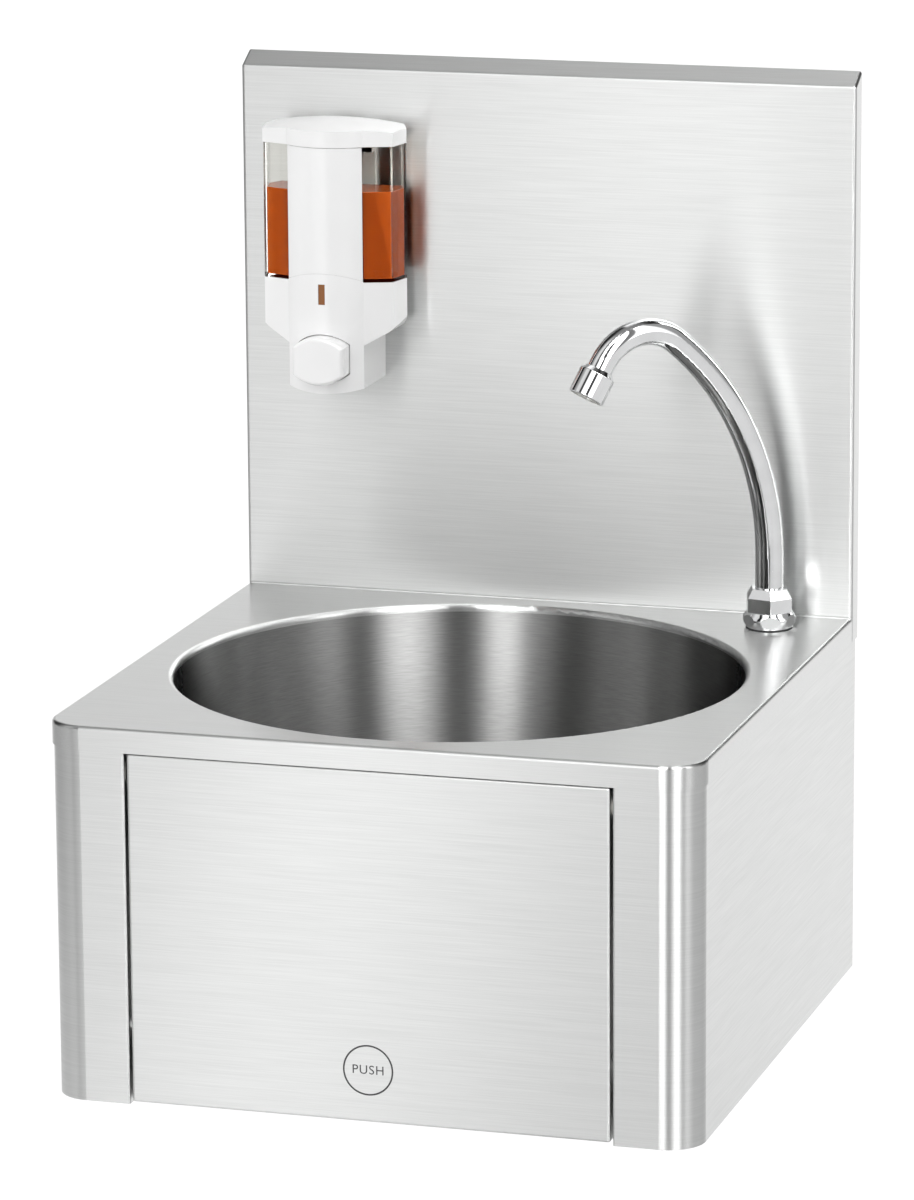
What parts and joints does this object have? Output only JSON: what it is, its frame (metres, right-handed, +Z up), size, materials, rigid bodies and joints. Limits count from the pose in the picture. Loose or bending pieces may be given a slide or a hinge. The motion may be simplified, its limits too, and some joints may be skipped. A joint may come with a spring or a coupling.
{
  "type": "hand wash sink",
  "caption": "Wall-hung stainless steel hand wash sink with a round bowl, backsplash, knee-operated front panel, swan-neck spout and a wall soap dispenser.",
  "frame": {"origin": "centre of the four wall holes, on the wall plane", "axes": "+X to the user's right, +Y into the wall, +Z up"},
  "size_m": [0.4, 0.4, 0.5755],
  "materials": {
    "stainless": "brushed along the width, even light grain",
    "plated_steel": "zinc plated",
    "chrome": "mirror chrome",
    "brass": "machined",
    "copper_pipe": "drawn copper tube",
    "rubber": "matte",
    "nylon": "satin",
    "waste_plastic": "satin",
    "white_plastic": "gloss white moulding",
    "clear_plastic": "clear moulding",
    "amber_plastic": "gloss, level window",
    "soap": "orange liquid soap"
  },
  "bodies": {
    "sink": {"basin_deck": "stainless", "basin_bowl": "stainless", "backsplash": "stainless", "backsplash_stiffeners": "stainless", "side_casing_right": "stainless", "side_casing_left": "stainless", "rear_rail_upper": "stainless", "rear_rail_lower": "stainless", "hinge_pins": "plated_steel", "hinge_clips": "plated_steel", "stop_pins": "plated_steel", "valve_crossbar": "stainless", "valve_bracket": "plated_steel", "bracket_bolts": "plated_steel", "bracket_nuts": "plated_steel", "valve_body": "brass", "valve_locknut": "brass", "valve_spring": "plated_steel", "mixing_block": "brass", "cold_inlet": "brass", "hot_inlet": "brass", "check_valves": "nylon", "outlet_pipe": "copper_pipe", "pipe_nuts": "brass", "waste_strainer": "stainless", "waste_seals": "rubber", "waste_body": "waste_plastic", "waste_screw": "plated_steel", "tap_seal": "rubber", "tap_base": "chrome", "tap_body": "chrome", "tap_o_rings": "rubber", "tap_shank": "brass", "tap_washer": "plated_steel", "tap_locknut": "brass", "dispenser_bracket": "white_plastic", "dispenser_screws": "plated_steel", "dispenser_nuts": "plated_steel", "dispenser_housing": "white_plastic", "dispenser_front": "white_plastic", "dispenser_cover": "white_plastic", "dispenser_window": "amber_plastic", "dispenser_reservoir": "clear_plastic", "soap_liquid": "soap", "dispenser_cylinder": "white_plastic", "dispenser_lid_pin": "plated_steel", "dispenser_spring": "plated_steel"},
    "knee_panel_assembly": {"knee_panel": "stainless", "panel_stiffener": "stainless", "push_pad": "nylon", "hinge_bushes": "nylon"},
    "plunger": {"valve_plunger": "chrome"},
    "spout": {"spout_tube": "chrome", "spout_clip": "plated_steel", "aerator_housing": "chrome", "aerator_insert": "nylon", "aerator_seal": "rubber"},
    "soap_lid": {"dispenser_lid": "white_plastic"},
    "soap_button": {"dispenser_button": "white_plastic", "dispenser_piston": "nylon"}
  },
  "joints": [
    {"name": "knee_panel_swing", "type": "hinge", "parent": "sink", "child": "knee_panel_assembly", "pos_m": [0, -0.389, 0.1045], "axis": [1, 0, 0], "range_deg": [0, 3.2], "stiffness_Nm_per_rad": 43, "springref_deg": -2.86},
    {"name": "plunger_slide", "type": "slide", "parent": "sink", "child": "plunger", "axis": [0, 1, 0], "range_m": [0, 0.0097], "deforming": ["valve_spring"]},
    {"name": "spout_swivel", "type": "hinge", "parent": "sink", "child": "spout", "pos_m": [0.155, -0.05, 0.15], "axis": [0, 0, 1], "range_deg": [-53, 142]},
    {"name": "soap_lid_hinge", "type": "hinge", "parent": "sink", "child": "soap_lid", "pos_m": [-0.1305, -0.021, 0.4355], "axis": [-1, 0, 0], "range_deg": [0, 75]},
    {"name": "soap_button_push", "type": "slide", "parent": "sink", "child": "soap_button", "axis": [0, 1, 0], "range_m": [0, 0.008], "stiffness_N_per_m": 400, "springref_m": -0.01, "deforming": ["dispenser_spring"]}
  ],
  "couplings": [
    {"joint": "plunger_slide", "follows": "knee_panel_swing", "m_per_rad": 0.1704}
  ]
}
